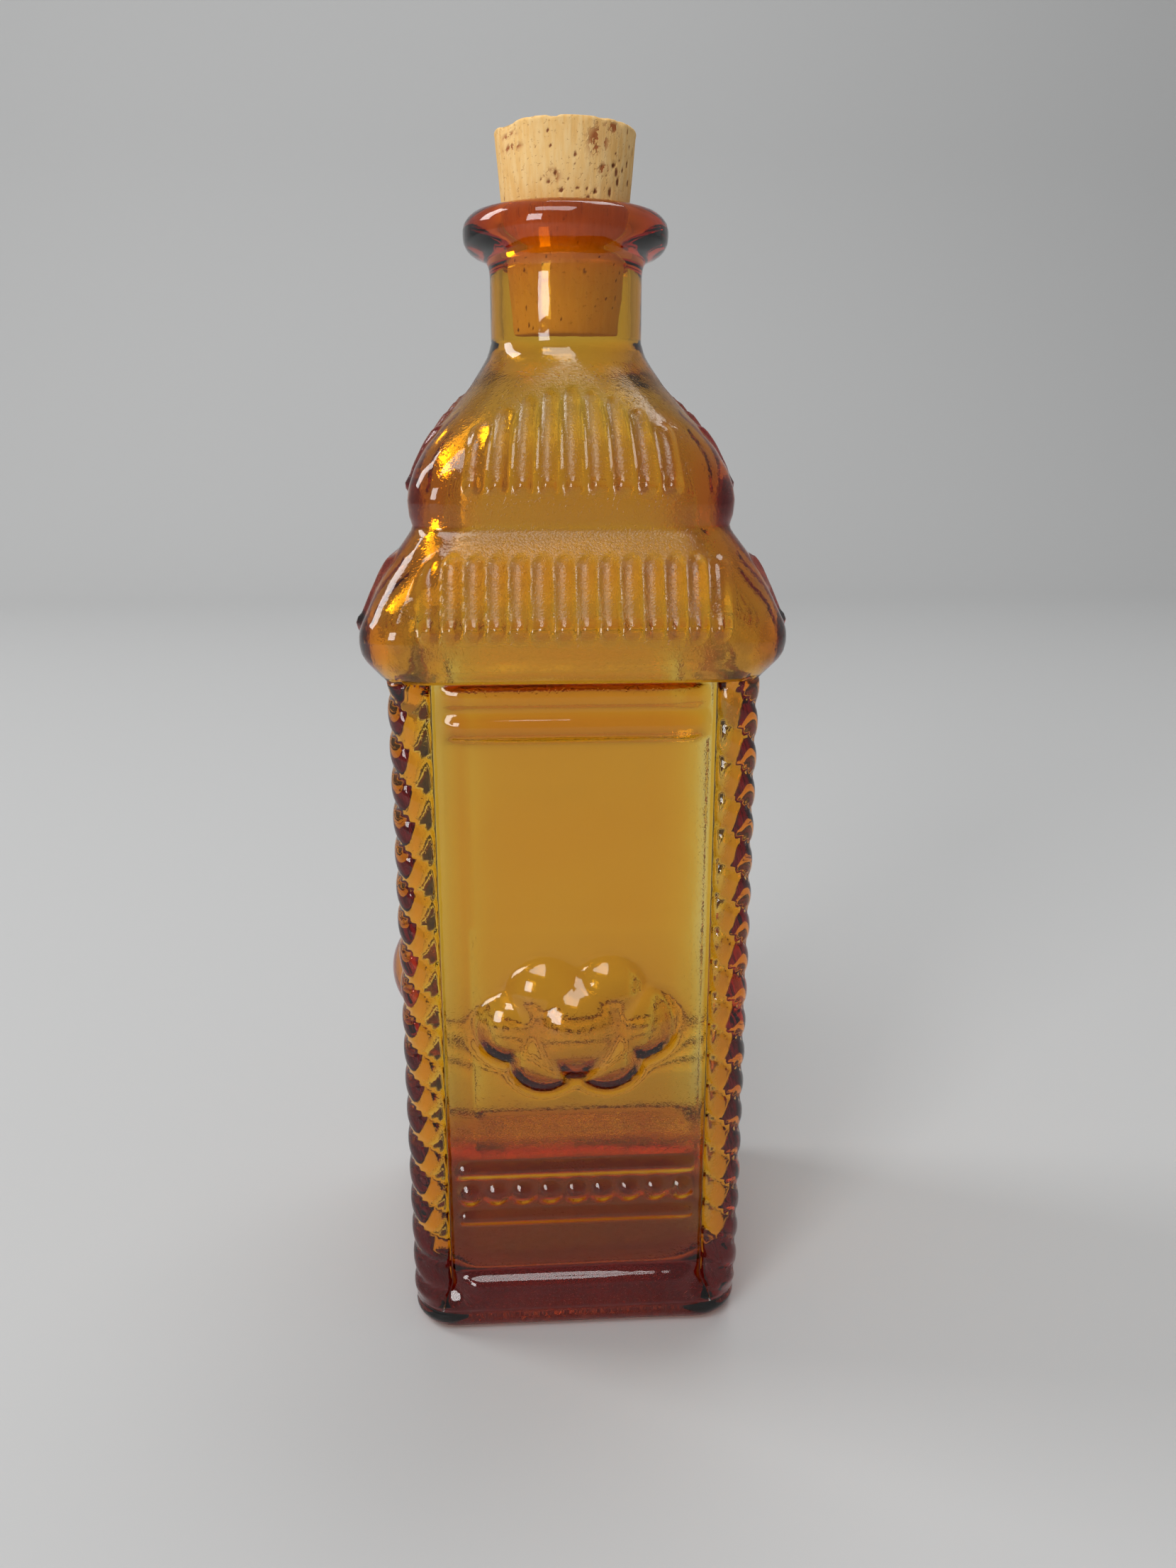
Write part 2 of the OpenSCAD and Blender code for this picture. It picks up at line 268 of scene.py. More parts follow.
def places_of(angles):
    """Places round a quarter: the face takes most of it, the corner the rest."""
    edge = math.atan(FACE_REACH)
    on_face = FACE_PART * (np.tan(np.clip(angles, -edge, edge)) / FACE_REACH + 1) / 2
    on_corner = FACE_PART + (1 - FACE_PART) * (angles - edge) / (math.pi / 2 - 2 * edge)
    return np.where(angles <= edge, on_face, on_corner)


def directions(face_count, corner_count, face_reach=FACE_REACH):
    """Directions of a quarter from the front face's left end round the right corner.

    The tangent of the angle steps evenly over the face, and the angle itself over
    the corner. Returns the angles from the face's normal and the places, 0 to 1.
    """
    face = np.arctan(np.linspace(-face_reach, face_reach, face_count))
    edge = math.atan(face_reach)
    corner = np.linspace(edge, math.pi / 2 - edge, corner_count + 2)[1:-1]
    angles = np.concatenate([face, corner])
    return angles, places_of(angles)


def from_nearest_face(angles):
    """Angles from the normal of the nearest face: those past 45 degrees fold back."""
    return np.where(angles > math.pi / 4, math.pi / 2 - angles, angles)


def rounded_square(half, radius, angles):
    """Distance from the axis to a square with round corners, in the given directions.

    On the flat it is half over the cosine. On the corner it is where the
    direction leaves the corner's circle.
    """
    side = half - radius
    toward = np.abs(np.sin(angles)) + np.cos(angles)
    corner = side * toward + np.sqrt(np.maximum((side * toward) ** 2 - 2 * side**2 + radius**2, 0))
    flat = np.abs(np.tan(angles)) * half <= side
    return np.where(flat, half / np.cos(angles), corner)


def polar(reach, angles, z):
    """Points from their distance to the axis, their angle from the front and their height."""
    x, y, z = np.broadcast_arrays(reach * np.sin(angles), -reach * np.cos(angles), z)
    return np.stack([x, y, z], -1)


def square_rings(path, angles):
    """Front quarters of the rings along a path of half widths, heights and corner radii."""
    half, z, radius = (column[:, None] for column in np.asarray(path, float).T)
    reach = rounded_square(half, np.minimum(radius, half), from_nearest_face(angles)[None])
    return polar(reach, angles, z)


print(f"a 20 mm square with 3 mm corners: {2 * rounded_square(10, 3, math.pi / 4):.2f} mm across corners")

# %% [markdown]
# ## The foot
#
# The bottle stands on the rim of a shallow hollow. Its heel is a soft roll all
# round, with a faint groove over it, where the mould's base plate met its
# sides. A separate base could be pushed into the body, but glass that overlaps
# glass shows its inner walls, so everything is one path of square rings, from
# the middle of the underside outwards and up.

# %% Underside, rim and heel
BODY_HALF, PLINTH_TOP, PLINTH_CORNER = 37.2, 14.8, 9.0
HEEL_R, HEEL_RINGS, HEEL_CORNER_SHARE = 4.2, 9, 0.2
GROOVE_Z, GROOVE_RISE, GROOVE_DEEP = 5.5, 0.6, 0.5
KICK_REACH, KICK_RISE, KICK_CORNER_SHARE = 30.0, 2.0, 0.25
KICK_HALVES = (3, 8, 13, 18, 23, 27, KICK_REACH)
FOOT_COUNTS, FOOT_REACH = (30, 20), 0.785
FOOT_SWELL = (11, 0.12, 25, 60)

foot_angles, foot_places = directions(*FOOT_COUNTS, FOOT_REACH)
kick = [(half, KICK_RISE * (1 - (half / KICK_REACH) ** 2), KICK_CORNER_SHARE * half) for half in KICK_HALVES]
heel = [
    (
        BODY_HALF - HEEL_R * (1 - math.sin(a)),
        HEEL_R * (1 - math.cos(a)),
        PLINTH_CORNER - HEEL_CORNER_SHARE * HEEL_R * (1 - math.sin(a)),
    )
    for a in np.linspace(0, math.pi / 2, HEEL_RINGS)
]
groove = [
    (BODY_HALF - GROOVE_DEEP / 2, GROOVE_Z - GROOVE_RISE, PLINTH_CORNER),
    (BODY_HALF - GROOVE_DEEP, GROOVE_Z, PLINTH_CORNER),
]
foot = four_fold(square_rings(kick + heel + groove, foot_angles))
foot = swell(foot, *FOOT_SWELL)
foot[..., 2] = np.maximum(foot[..., 2], 0)
print("foot rings", foot.shape)

# %% [markdown]
# ## Relief on a face
#
# Each face carries two thin bars near the foot with a row of beads between
# them, and two fat rolls under the eave. The front and both flanks also have a
# rosette of six petals round a large boss. Each is a ball or a bar sunk in the
# face, and its height over the face is a formula of the distance from its
# middle. They could be separate balls joined by a boolean, but as heights they
# flow into the face as moulded glass does, and the skin stays one.
#
# The wall is blown against its mould, so it is about as thick behind a petal as
# beside it. The inner side of a ball is a ball about the same middle, smaller
# by the wall, which is why the rosette's heights take the wall's depth.

# %% Heights over a flat face
FALL_AWAY, BLEND, BAR_HALF = 2, 0.35, 26.6
# Each roll and bar: its level, its radius and how far it stands out.
BARS = [(147.94, 3.4, 2.3), (141.82, 3.4, 2.3), (40.6, 1.7, 1.3), (28.8, 1.7, 1.3)]
BEAD_Z, BEAD_PITCH, BEAD_R, BEAD_RELIEF, BEADS_TO_SIDE = 34.7, 5.91, 3.1, 1.6, 4
ROSETTE_Z, PETALS, FIRST_PETAL, ROSETTE_SOFT = 75.0, 6, 30, 0.75
PETAL_OUT, PETAL_UP, PETAL_R, PETAL_RELIEF = 13.56, 8.06, 11.3, 4.4
BOSS_R, BOSS_RELIEF = 13.5, 8.0


def sunk(distance, radius, relief):
    """Height of a ball or bar whose middle lies behind the face.

    The root of radius² - distance², less the depth of the middle. Past the edge
    it falls away by 2 mm for each millimetre.
    """
    inside = np.sqrt(np.clip(radius**2 - distance**2, 0, None))
    return inside - FALL_AWAY * np.clip(distance - radius, 0, None) - (radius - relief)


def bar_distance(x, z, half, level):
    """Distance from a level bar's middle line, which ends half away on either side."""
    return np.hypot(np.clip(np.abs(x) - half, 0, None), z - level)


def rosette_relief(x, z, depth=0.0, soft=ROSETTE_SOFT):
    """Height of the rosette over the flat, or over a flat that lies deeper in the wall."""
    height = np.zeros(np.broadcast(x, z).shape)
    for k in range(PETALS):
        a = math.radians(FIRST_PETAL + 360 / PETALS * k)
        away = np.hypot(x - PETAL_OUT * math.sin(a), z - ROSETTE_Z - PETAL_UP * math.cos(a))
        height = smooth_max(height, sunk(away, PETAL_R - depth, PETAL_RELIEF), soft)
    boss = sunk(np.hypot(x, z - ROSETTE_Z), BOSS_R - depth, BOSS_RELIEF)
    return smooth_max(height, boss, soft)


def face_relief(x, z, with_rosette):
    """Height of everything on one face over its flat, blended by smooth maxima."""
    height = rosette_relief(x, z) if with_rosette else np.zeros(np.broadcast(x, z).shape)
    for level, radius, relief in BARS:
        bar = sunk(bar_distance(x, z, BAR_HALF - radius, level), radius, relief)
        height = smooth_max(height, bar, BLEND)
    nearest = np.clip(np.round(x / BEAD_PITCH), -BEADS_TO_SIDE, BEADS_TO_SIDE) * BEAD_PITCH
    return smooth_max(height, sunk(np.hypot(x - nearest, z - BEAD_Z), BEAD_R, BEAD_RELIEF), BLEND)


print(f"the rosette stands out by {rosette_relief(np.zeros(1), ROSETTE_Z)[0]:.2f} mm")

# %% [markdown]
# ## Rope columns
#
# The columns look like two strands twisted together. They could be two twisted
# tubes, but those would overlap in the middle. In plan such a rope is a circle
# with two bulges, and the plan turns as it rises. So the column is one formula:
# the radius depends on the angle from the nearest strand's crest, and the
# crest's angle falls evenly with height. Beside a face the strands run out,
# which leaves a straight groove between rope and face.

# %% Rope, plinth and face
FACE_HALF = 34.4
COLUMN_AT, COLUMN_R, STRAND_RISE, STRAND_FULL = 32.1, 5.1, 1.45, 0.965
ROPE_LEAD, CREST_Z = 14.84, 145.0
COLUMN_FROM, COLUMN_TO, RUN_OUT = np.radians((-153.0, 63.0, 24.0))
PLINTH_EDGE, PLINTH_FLAT, PLINTH_RUN_OUT = 2.6, 22.5, 6
EDGE_SHARES, FIRST_SHARE = np.array([0.005, 0.0105, 0.0165]), 0.03


def rope_radius(angle, z, first, last):
    """Radius of the rope from the place across the nearer strand, s from -1 to 1.

    It is the column's radius, less the strand's rise times 1 - root of 1 - s². At
    both ends of the column it eases to the radius between two strands.
    """
    turn = angle + math.pi / 2 + 2 * math.pi * (z - CREST_Z) / ROPE_LEAD
    across = 2 * np.mod(turn / math.pi + 0.5, 1) - 1
    rope = COLUMN_R - STRAND_RISE * (1 - np.sqrt(1 - (STRAND_FULL * across) ** 2))
    between = COLUMN_R - STRAND_RISE * (1 - math.sqrt(1 - STRAND_FULL**2))
    return between + (rope - between) * ease((angle - first) / RUN_OUT) * ease((last - angle) / RUN_OUT)


def plinth_relief(x, z):
    """Height of the plinth over the face, which falls away towards the columns."""
    rise = (BODY_HALF - FACE_HALF) * ease((PLINTH_TOP - z) / PLINTH_EDGE)
    return rise * (1 - ease((np.abs(x) - PLINTH_FLAT) / PLINTH_RUN_OUT))


def face_shares(count):
    """Places across a face, 0 to 1: three close to either end and so many between."""
    between = np.linspace(FIRST_SHARE, 1 - FIRST_SHARE, count)
    return np.concatenate([EDGE_SHARES, between, 1 - EDGE_SHARES[::-1]])


print("a strand comes round every", ROPE_LEAD / 2, "mm")

# %% [markdown]
# ## The body between heel and eave
#
# A quarter of the body is a face and the column on its right. At the bottom the
# ropes and the plinth between them melt into the square ring of the heel, which
# is a stretch of each ring towards that square.
#
# The rings come in four lots. Only the points across a face differ: many where
# it has beads or a rosette, and few where it is bare. One even grid would be
# simpler, but it would spend most of its triangles on flat glass.

# %% Rings of the body
COLUMN_COUNT, PANEL_EDGE = 30, 0.9
MELT_HEIGHT, MELT_TURN = 6.0, math.radians(20)
BODY_TOP = 151.0
BODY_SWELL = (12, 0.05, 18, 45)
BODY_LOTS = [
    (5.9, 54.0, 52, 48), (54.9, 97.0, 46, 44), (97.9, 135.0, 40, 8), (135.9, BODY_TOP - FINE_STEP, 17, 22),
]


def body_rings(z, share, with_rosette=True):
    """Front quarter of the body: the face with its relief, then the right-hand column."""
    z = z[:, None]
    melted = 1 - ease((z - GROOVE_Z) / MELT_HEIGHT)
    first, last = COLUMN_FROM + MELT_TURN * melted, COLUMN_TO - MELT_TURN * melted
    angle = first + (last - first) * np.linspace(0, 1, COLUMN_COUNT)[None]
    r = rope_radius(angle, z, first, last)
    column = np.stack([COLUMN_AT + r * np.cos(angle), -COLUMN_AT + r * np.sin(angle), z + 0 * r], -1)
    right, turned = column[:, :1], column[:, -1:]
    left_x, left_y = turned[..., 1], -turned[..., 0]
    x = left_x + (right[..., 0] - left_x) * share
    near_y = np.where(share < 0.5, left_y, right[..., 1])
    from_end = np.minimum(x - left_x, right[..., 0] - x)
    flat = -(FACE_HALF + face_relief(x, z, with_rosette) + plinth_relief(x, z))
    y = near_y + (flat - near_y) * ease(from_end / PANEL_EDGE)
    rings = np.concatenate([np.stack([x, y, z + 0 * x], -1), column], axis=1)
    way = np.arctan2(rings[..., 0], -rings[..., 1])
    square = rounded_square(BODY_HALF, PLINTH_CORNER, from_nearest_face(way))
    stretch = 1 + (square / np.hypot(rings[..., 0], rings[..., 1]) - 1) * melted
    return rings * np.stack([stretch, stretch, 1 + 0 * stretch], -1)


body = []
column_places = FACE_PART + (1 - FACE_PART) * np.arange(COLUMN_COUNT) / COLUMN_COUNT
for low_z, high_z, ring_count, face_count in BODY_LOTS:
    lot_z = np.linspace(low_z, high_z, ring_count)
    share = face_shares(face_count)
    lot = four_fold(body_rings(lot_z, share), body_rings(lot_z, share, with_rosette=False))
    lot_places = ring_places(np.concatenate([FACE_PART * share, column_places]))
    body.append((swell(lot, *BODY_SWELL), lot_places))
print("body rings", [lot.shape for lot, _ in body])

# %% [markdown]
# ## The two roofs
#
# Above the columns the glass flares to an eave, draws in to a crease, swells
# again to a shoulder and closes in to the neck. The outline of all that is one
# path of half widths, heights and corner radii. A lathe turns such an outline
# into a round thing, and square rings do the same for a square one.

# %% Outline of the roofs
NECK_R, NECK_FOOT_Z, CREASE_Z = 15.75, 216.0, 180.2
ROOF_PATH = [
    (38.0, BODY_TOP, 9.5), (39.7, 153.3, 9.5), (40.95, 155.0, 9.5), (41.7, 156.6, 9.5), (42.0, 158.7, 9.5),
    (41.9, 160.4, 9.4), (41.5, 162.1, 9.3), (40.3, 164.7, 9.2), (39.15, 167.3, 9.0), (37.2, 171.3, 8.8),
    (34.9, 175.2, 8.4), (32.2, 179.0, 8.1), (31.5, CREASE_Z, 8.0), (32.1, 182.2, 7.8), (32.3, 185.3, 7.5),
    (31.9, 188.0, 7.7), (30.8, 191.3, 8.0), (28.7, 195.4, 9.5), (26.0, 199.5, 11.5), (23.3, 203.0, 13.5),
    (20.1, 207.3, 15.2), (17.9, 211.0, 16.4), (16.5, 213.5, 16.4), (NECK_R, NECK_FOOT_Z, NECK_R),
]
ROOF_RINGS, ROOF_SOFT, ROOF_COUNTS = 76, 0.9, (92, 12)

roof_angles, roof_places = directions(*ROOF_COUNTS)
roof_path = smooth_path(ROOF_PATH, ROOF_RINGS, ROOF_SOFT)
plain_roof = square_rings(roof_path, roof_angles)
roof_run = run_along(roof_path)
print("the roofs' outline is", round(float(roof_run[-1]), 1), "mm long")

# %% [markdown]
# ## Ribs
#
# Both roofs carry upright ribs with a bead at the foot: on the lower roof they
# stand side by side, and on the upper one they close in as it narrows. They
# could be bars laid on the roof, but then each needs its own bend. Ribs are
# heights again, over the curved roof this time, so the points move along the
# roof's own normals.

# %% Ribs of both roofs
RIB_R, LOWER_RELIEF, UPPER_RELIEF = 2.5, 1.05, 0.8
RIB_FOOT_R, RIB_FOOT_MORE, RIB_FOOT_RUN = 1.95, 0.45, 1.5
RIB_BLEND, LANE_BLEND = 0.12, 0.15
LOWER_COUNT, LOWER_PITCH, LOWER_FOOT_Z, EAVE_Z = 14, 4.26, 161.93, 158.7
UPPER_COUNT, UPPER_PITCH, UPPER_FOOT_Z, UPPER_FROM_Z, UPPER_TO_Z = 9, 4.8, 188.2, 185.3, 214.0
SHOULDER_HALF, CLOSING_IN, CROSSING = 31.6, 0.45, 4
TOP_SHARE, DROP_SHARE = 0.68, 0.24
GROOVE_UNDER = 0.7
ROOF_SWELL = (13, 0.05, 18, 45)


def run_at(z):
    """How far along the roof's outline a height is, in millimetres."""
    return np.interp(z, roof_path[:, 1], roof_run)


def rib_heights(x, run, lanes, foot_z, top_z, relief):
    """Height of the ribs over the roof: each a bar along its lane with a bead at its foot."""
    height = np.zeros(np.broadcast(x, run).shape)
    for lane, top in zip(lanes, np.broadcast_to(top_z, len(lanes))):
        foot_run, top_run = run_at(foot_z), run_at(top)
        past = np.clip(foot_run + RIB_FOOT_RUN - run, 0, None) + np.clip(run - top_run, 0, None)
        rib = sunk(np.hypot(x - lane, past), RIB_R, relief)
        bead = sunk(np.hypot(x - lane, run - foot_run), RIB_FOOT_R, relief + RIB_FOOT_MORE)
        height = smooth_max(height, smooth_max(rib, bead, RIB_BLEND), LANE_BLEND)
    return height


def upper_top(lane):
    """Height of the top of an upper rib, so many lanes from the middle. It drops with the square."""
    share = TOP_SHARE - DROP_SHARE * (lane / (UPPER_COUNT // 2)) ** 2
    return UPPER_FROM_Z + share * (UPPER_TO_Z - UPPER_FROM_Z)


run = roof_run[:, None]
lower_x = plain_roof[..., 0]
lower_lanes = (np.arange(LOWER_COUNT) - (LOWER_COUNT - 1) / 2) * LOWER_PITCH
lower_top = EAVE_Z + TOP_SHARE * (CREASE_Z - EAVE_Z)
lower = rib_heights(lower_x, run, lower_lanes, LOWER_FOOT_Z, lower_top, LOWER_RELIEF)
upper_x = lower_x * (SHOULDER_HALF / roof_path[:, :1]) ** CLOSING_IN
lanes = np.arange(UPPER_COUNT) - UPPER_COUNT // 2
upper = rib_heights(upper_x, run, lanes * UPPER_PITCH, UPPER_FOOT_Z, upper_top(lanes), UPPER_RELIEF)
on_upper = ease((run - run_at(CREASE_Z)) / CROSSING)
heights = lower * (1 - on_upper) + upper * on_upper

in_lower = plateau(run, run_at(LOWER_FOOT_Z), 1, run_at(lower_top), 1)
in_lower = in_lower * (np.abs(lower_x) < LOWER_COUNT / 2 * LOWER_PITCH)
in_upper = plateau(run, run_at(UPPER_FOOT_Z), 1, run_at(upper_top(upper_x / UPPER_PITCH)), 1)
in_upper = in_upper * (np.abs(upper_x) < UPPER_COUNT / 2 * UPPER_PITCH)
grooves = (in_lower + in_upper) * (1 - ease(heights / GROOVE_UNDER))

roof = four_fold(plain_roof)
roof += outward(roof) * np.tile(heights, (1, TURNS))[..., None]
roof[1:-1] = swell(roof, *ROOF_SWELL)[1:-1]
print("roof rings", roof.shape, "highest rib", round(float(heights.max()), 2), "mm")

# %% [markdown]
# ## Neck, lip and bore
#
# From here the rings are circles. The neck is a plain cylinder and the lip is
# rolled over it while the glass is soft, so its outline turns under at the neck
# and over into the mouth without an edge. A ring laid on a tube would leave a
# seam, and one outline doesn't. The bore goes down as far as the cork needs.

# %% Neck, lip and bore
BORE_R = 13.1
LIP_PATH = [
    (NECK_R, 217.0), (NECK_R, 229.0), (16.0, 231.2), (16.9, 232.0), (18.6, 232.6), (20.1, 233.6),
    (21.0, 235.2), (21.15, 237.2), (20.7, 239.0), (19.4, 240.3), (17.4, 241.0), (15.6, 241.3),
    (14.2, 241.2), (13.35, 240.6), (BORE_R, 239.0), (BORE_R, 214.0),
]
LIP_RINGS, LIP_SOFT = 50, 0.5
ROUND_FROM, ROUND_TO, ROUND_COUNT = -37.2, 52.8, 24

round_angles = np.radians(np.linspace(ROUND_FROM, ROUND_TO, ROUND_COUNT, endpoint=False))
round_places = places_of(round_angles)
lip_path = smooth_path(LIP_PATH, LIP_RINGS, LIP_SOFT)
lip = four_fold(polar(lip_path[:, :1], round_angles, lip_path[:, 1:]))
print("lip rings", lip.shape, "top at", round(float(lip_path[:, 1].max()), 2), "mm")

# %% [markdown]
# ## The hollow
#
# No mould shapes the inside, so the hollow follows the outside only loosely: no
# ropes or ribs, a soft swelling behind each rosette, corners that reach a little
# into the columns, and a slow swell all over that bends what is seen through
# the walls. The outside could be shrunk to make it, but that would copy every
# rib inwards. The rings lie closer and have more points behind the rosettes.

# %% Inner surface
INNER_HALF, INNER_CORNER, WALL, INNER_SOFT, INNER_FLOOR_Z = 30.6, 5.0, 3.8, 1.8, 7.6
HOLLOW_UPPER = [
    (13.3, 212.5, 13.3), (15.0, 209.5, 14.4), (18.4, 205.5, 14.2), (22.2, 200.5, 13.0), (25.2, 195.5, 11.0),
    (27.2, 190.5, 9.4), (28.0, 186.0, 8.4), (28.0, 182.5, 8.2), (28.0, 179.5, 8.2), (29.8, 176.0, 8.2),
    (32.4, 172.0, 8.2), (35.0, 168.0, 8.2), (37.0, 164.0, 8.2), (38.1, 160.0, 8.0), (38.0, 157.0, 7.8),
    (36.6, 154.0, 7.4), (34.0, 151.0, 6.8), (32.0, 148.5, 6.0), (30.9, 145.0, 5.4), (30.6, 140.0, 5.0),
    (30.6, 130.0, 5.0), (30.6, 98.0, 5.0),
]
HOLLOW_LOWER = [
    (30.6, 52.0, 5.0), (30.6, 20.0, 5.0), (30.3, 14.5, 5.0), (29.0, 11.0, 5.5), (27.0, 9.0, 6.0),
    (23.0, 8.2, 7.0), (10.0, 7.7, 6.0), (4.0, INNER_FLOOR_Z, 3.0),
]
HOLLOW_SOFT, UPPER_RINGS, MIDDLE_RINGS, LOWER_RINGS = 2.0, 46, 32, 22
MIDDLE_TOP, MIDDLE_FOOT = 97, 53
PLAIN_COUNTS, ROSETTE_COUNTS = (20, 8), (42, 8)
CORNER_REACH, CORNER_SPREAD = 4.6, math.radians(8.5)
REACH_LEVELS, FACE_FADE = (12, 10, 154, 12), 0.1
SLOW_SWELL, QUICK_SWELL = (14, 0.28, 22, 60), (15, 0.05, 9, 20)


def reaching_corners(rings, angles):
    """Draws the rings out towards the columns between plinth and eave, by a bell round 45 degrees."""
    level = plateau(rings[..., 2:], *REACH_LEVELS)
    bell = np.exp(-(((angles - math.pi / 4) / CORNER_SPREAD) ** 2))[:, None]
    out = rings * (1, 1, 0)
    out /= np.linalg.norm(out, axis=-1, keepdims=True)
    return rings + out * bell * level * CORNER_REACH


def hollow_section(path, counts, with_rosette=False):
    """Rings of the hollow from the front quarter, if asked with a swelling behind three rosettes."""
    angles, places = directions(*counts)
    plain = reaching_corners(square_rings(path, angles), angles)
    fronts = plain.copy()
    if with_rosette:
        on_face = ease((FACE_REACH - np.abs(np.tan(angles))) / FACE_FADE)
        fronts[..., 1] -= rosette_relief(plain[..., 0], plain[..., 2], WALL, INNER_SOFT) * on_face
    return four_fold(fronts, plain), ring_places(places)


middle_z = np.linspace(MIDDLE_TOP, MIDDLE_FOOT, MIDDLE_RINGS)
middle_path = np.stack([INNER_HALF + 0 * middle_z, middle_z, INNER_CORNER + 0 * middle_z], 1)
hollow = [
    hollow_section(smooth_path(HOLLOW_UPPER, UPPER_RINGS, HOLLOW_SOFT), PLAIN_COUNTS),
    hollow_section(middle_path, ROSETTE_COUNTS, with_rosette=True),
    hollow_section(smooth_path(HOLLOW_LOWER, LOWER_RINGS, HOLLOW_SOFT), PLAIN_COUNTS),
]
hollow = [
    (swell(swell(grid, *SLOW_SWELL), *QUICK_SWELL), places) for grid, places in hollow
]
print("hollow rings", [grid.shape for grid, _ in hollow])

# %% [markdown]
# ## Satin and shine
#
# The roofs have a satin, sparkling skin that scatters light, and so has the
# underside, where the mould isn't polished. Grooves, beads, corners and faces
# are brighter, and the inside is a little dull everywhere. A painted image
# could say where, but it has to be fitted to the skin. So each point carries a
# number, "satin", that the finish later turns into roughness.

# %% How satin each point is
SATIN_LEVELS, BEAD_REACH, BEAD_SATIN = (155, 5, 214, 8), 2.6, 0.1
CORNER_FROM, CORNER_FADE, CORNER_SATIN = 0.80, 0.3, 0.05
GROOVE_SHINE = 0.85
UNDER_TOP, UNDER_FADE = 3.5, 2
INNER_SATIN, INNER_FLOOR_SATIN, INNER_FLOOR_TOP = 0.15, 0.6, 10

sections = [(foot, ring_places(foot_places))] + body
sections += [(roof, ring_places(roof_places)), (lip, ring_places(round_places))] + hollow


def skin_values(parts):
    """One value for each point of the skin, from one number or one grid for each section."""
    spread_out = [np.broadcast_to(part, grid.shape[:2]).ravel() for part, (grid, _) in zip(parts, sections)]
    return np.concatenate([[0]] + spread_out + [[0]])


def off_bead(foot_z):
    """0 at the beads of a row of ribs, and 1 away from them."""
    return ease(np.abs(roof_run - run_at(foot_z)) / BEAD_REACH)


roof_levels = plateau(roof_path[:, 1], *SATIN_LEVELS)
off_beads = off_bead(LOWER_FOOT_Z) * off_bead(UPPER_FOOT_Z)
off_corner = np.tile(ease((CORNER_FROM - np.abs(np.tan(roof_angles))) / CORNER_FADE), TURNS)
roof_satin = (roof_levels * at_least(BEAD_SATIN, off_beads))[:, None] * at_least(CORNER_SATIN, off_corner)
roof_satin = roof_satin * (1 - GROOVE_SHINE * np.tile(grooves, (1, TURNS)))
under_satin = ease((UNDER_TOP - foot[..., 2]) / UNDER_FADE)
inner_satin = [
    INNER_SATIN + INNER_FLOOR_SATIN * ease((INNER_FLOOR_TOP - grid[..., 2]) / UNDER_FADE)
    for grid, _ in hollow
]
satin = skin_values([under_satin, 0, 0, 0, 0, roof_satin, 0] + inner_satin)
print(f"more than half satin: {(satin > 0.5).mean():.0%} of the points")

# %% The whole bottle
points, triangles = closed_skin(sections, (0, 0, KICK_RISE), (0, 0, INNER_FLOOR_Z))
glass_bottle = mesh_piece("amber_bottle", points, triangles, {"satin": satin})
corners = points[triangles]
volume = np.einsum("ij,ij->i", corners[:, 0], np.cross(corners[:, 1], corners[:, 2])).sum() / 6
print("glass volume", round(volume / 1000, 1), "cm³")

# %% [markdown]
# ## The cork
#
# A natural cork is bark, cut on a lathe and pressed to a slight taper. A cone
# from a menu would have the shape but no skin, so the cork is rings again, close
# enough to carry dents, from the middle of the foot to the middle of the top.

# %% The cork's taper
CORK_TOP, CORK_FOOT, MOUTH_Z, MOUTH_R, CORK_SLOPE = 256.0, 217.0, 241.3, 13.0, 1.3 / 14.7
AROUND, BEVEL, BEVEL_RINGS, SIDE_RINGS = 200, 0.7, 6, 74
FOOT_SHARES, TOP_SHARES = (0.25, 0.5, 0.75, 0.95), np.linspace(0.97, 0.05, 22)


def cork_radius(z):
    """Radius of the taper at a height: that of the mouth, plus the slope times the height over it."""
    return MOUTH_R + CORK_SLOPE * (z - MOUTH_Z)


bevel_turn = np.linspace(0, math.pi / 2, BEVEL_RINGS)
side_z = np.linspace(CORK_FOOT + BEVEL, CORK_TOP - BEVEL, SIDE_RINGS)[1:-1]
top_r, foot_r = cork_radius(CORK_TOP) - BEVEL, cork_radius(CORK_FOOT) - BEVEL
cork_path = np.array(
    [(foot_r * s, CORK_FOOT) for s in FOOT_SHARES]
    + [(foot_r + BEVEL * math.sin(a), CORK_FOOT + BEVEL * (1 - math.cos(a))) for a in bevel_turn[1:]]
    + [(cork_radius(z), z) for z in side_z]
    + [(top_r + BEVEL * math.cos(a), CORK_TOP - BEVEL * (1 - math.sin(a))) for a in bevel_turn]
    + [(top_r * s, CORK_TOP) for s in TOP_SHARES]
)
turn = np.linspace(0, 2 * math.pi, AROUND, endpoint=False)[None]
cork_grid = polar(cork_path[:, :1], turn, cork_path[:, 1:])
flat_cork = cork_grid.reshape(-1, 3)
print("cork rings", cork_grid.shape)

# %% [markdown]
# ## Pores and rust
#
# Cork is full of small dark pores, a few of them open pits, with rusty,
# wormlike patches between. A noise in the finish would colour them but leave
# the surface flat. So most pores are placed by a seeded draw and the ones that
# show are listed one by one, and each pushes the surface in and darkens it.

# %% Where the pores and the rust are
PORES, ON_TOP = 330, 120
PORE_MIDDLE, PORE_SPREAD, PORE_LEAST, PORE_MOST = 0.17, 0.4, 0.08, 0.42
TALL_SHARES, DEEP_SHARES = (0.9, 2.6), (0.3, 0.9)
SPOT_EDGE, FAINTEST, FULL_DEPTH = 1.5, 0.45, 0.4
